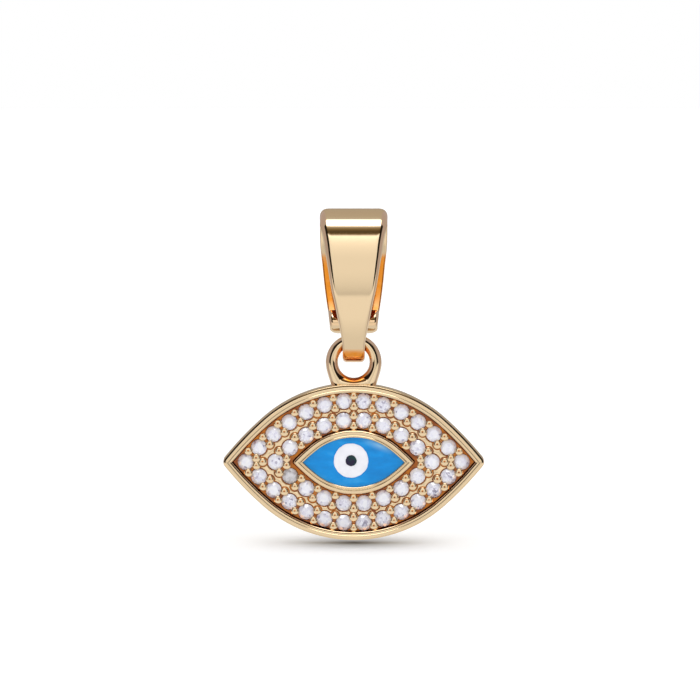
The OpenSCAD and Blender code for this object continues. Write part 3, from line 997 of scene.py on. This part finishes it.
floor_z = cad_box[0].z - FLOOR_GAP
corners = ((-1, -FLOOR_FRONT), (1, -FLOOR_FRONT), (1, FLOOR_BACK), (-1, FLOOR_BACK))
floor_mesh = bpy.data.meshes.new("table_top")
floor_mesh.from_pydata([(side * FLOOR_SIDE, y, floor_z) for side, y in corners], [], [(0, 1, 2, 3)])
floor = put("table_top", floor_mesh)
acrylic, tree = material("pale_acrylic")
place = add(tree, "ShaderNodeTexCoord").outputs["Object"]
# A soft shadow is painted on the table under the eye, darkening its colour and glow
under = add(tree, "ShaderNodeMapping", {
    "Vector": place, "Location": (0, 0, -floor_z / SHADE_X),
    "Scale": (1 / SHADE_X, 1 / SHADE_Y, 1 / SHADE_X)})
painted_shadow = add(tree, "ShaderNodeTexGradient", {"Vector": under.outputs[0]},
           gradient_type="QUADRATIC_SPHERE")
tint = mix(tree, painted_shadow.outputs["Fac"], linear(FLOOR_COLOUR), linear(PAINTED_SHADOW_COLOUR))
finish_surface(tree, add(tree, "ShaderNodeBsdfPrincipled", {
    "Base Color": tint, "Roughness": FLOOR_ROUGHNESS,
    "Emission Color": tint, "Emission Strength": FLOOR_GLOW}))
floor.data.materials.append(acrylic)
# Polished metal mirrors the room's own white table in place of this one
floor.visible_glossy = False

camera_data = bpy.data.cameras.new("camera")
camera = put("camera", camera_data)
bpy.context.scene.camera = camera
centre_pixel = PICTURE_PIXELS / 2
look_at = Vector(((centre_pixel - ORIGIN_PIXEL.x) / PIXELS_PER_MM * MM, 0,
                  (ORIGIN_PIXEL.y - centre_pixel) / PIXELS_PER_MM * MM))
toward = Vector((0, -math.cos(CAMERA_RISE), math.sin(CAMERA_RISE)))
camera.location = look_at + CAMERA_DISTANCE * toward
camera.rotation_euler = (math.pi / 2 - CAMERA_RISE, 0, 0)
camera_data.sensor_width = SENSOR
camera_data.lens = SENSOR * CAMERA_DISTANCE / (PICTURE_PIXELS / PIXELS_PER_MM * MM)
camera_data.clip_end = 10

# What polished metal mirrors. Pitch round the X axis in degrees, from the back under the table
# to the front and over the top, and the brightness there
ROOM = ((-180, 0.4), (-172, 0.5), (-165, 0.78), (-150, 0.86), (-110, 0.8), (-52, 0.84),
        (-40, 0.84), (-32, 0.92), (-25, 1.0), (-10, 1.0), (-8.8, 0.7), (-6, 0.76), (-4.5, 0.84),
        (-1.8, 0.92), (2, 0.99), (7, 0.98), (9.4, 1.05), (11.6, 1.14), (13.5, 1.3), (15, 1.7),
        (16.5, 1.7), (19, 0.25), (22, 0.1), (30, 0.11), (37, 0.2), (46, 0.45), (50.5, 1.0),
        (53.5, 3.6), (79.5, 3.6), (82, 0.64), (95, 0.54), (120, 0.52), (145, 0.5), (165, 0.42),
        (180, 0.4))
# Where the room is dim its light is warm: all of it up to the first brightness, and none of it
# from the second on
DIM_COLOUR = "#FFDFA6"
DIM_LIMITS = (0.25, 0.6)
# How far to the side the front panel ends, and where its dark surround gives way to the walls
PANEL_SIDE = (0.3, 0.35)
SURROUND_SIDE = (0.74, 0.84)
SURROUND_TOP = (math.radians(56), math.radians(64))
# Below this edge the white table fills the view almost to the sides
TABLE_EDGE = (math.radians(-8), math.radians(-10))
TABLE_SIDE = (0.8, 0.9)
SIDE_COLOUR = "#BEB4BA"
DARK_COLOUR = "#1C160E"
ROOM_COLOUR = "#FFFFFF"
# The soft light from all round that falls on stones, enamel and table
SOFT_LIGHT = 1.0

world = bpy.data.worlds.new("studio")
bpy.context.scene.world = world
world.use_nodes = True
tree = world.node_tree
tree.nodes.clear()
way = add(tree, "ShaderNodeSeparateXYZ", {
    "Vector": add(tree, "ShaderNodeTexCoord").outputs["Generated"]})
front = times(tree, way.outputs["Y"], -1.0)
pitch = add(tree, "ShaderNodeMath", {0: way.outputs["Z"], 1: front},
            operation="ARCTAN2").outputs[0]
room = add(tree, "ShaderNodeFloatCurve", {"Value": remap(tree, pitch, (-math.pi, math.pi))})
brightest = max(value for degrees, value in ROOM)
curve = room.mapping.curves[0]
for degrees, value in ROOM[1:-1]:
    curve.points.new((degrees + 180) / 360, value / brightest)
curve.points[0].location = (0, ROOM[0][1] / brightest)
curve.points[-1].location = (1, ROOM[-1][1] / brightest)
# The curve runs straight from point to point
for point in curve.points:
    point.handle_type = "VECTOR"
room.mapping.update()
bright = times(tree, room.outputs[0], brightest)
aside = add(tree, "ShaderNodeMath", {0: way.outputs["X"]}, operation="ABSOLUTE").outputs[0]

# Straight ahead is the room, in its own light. To the sides it gives way to what is around it
warmth = mix(tree, remap(tree, bright, DIM_LIMITS), linear(DIM_COLOUR), linear(ROOM_COLOUR))
straight = mix(tree, 1.0, warmth, bright, blend="MULTIPLY")
wall = add(tree, "ShaderNodeMath", {
    0: remap(tree, aside, SURROUND_SIDE), 1: remap(tree, pitch, SURROUND_TOP)},
    operation="MAXIMUM")
around = mix(tree, wall.outputs[0], linear(DARK_COLOUR), linear(SIDE_COLOUR))
off = add(tree, "ShaderNodeMix", {
    0: remap(tree, pitch, TABLE_EDGE), 2: remap(tree, aside, PANEL_SIDE),
    3: remap(tree, aside, TABLE_SIDE)}, data_type="FLOAT")
lit = mix(tree, off.outputs[0], straight, around)
mirrored = add(tree, "ShaderNodeLightPath").outputs["Is Glossy Ray"]
shown = mix(tree, mirrored, linear(ROOM_COLOUR), lit)
light = add(tree, "ShaderNodeBackground", {"Color": shown, "Strength": SOFT_LIGHT})
add(tree, "ShaderNodeOutputWorld", {"Surface": light.outputs[0]})
bpy.context.scene.view_settings.view_transform = "Standard"
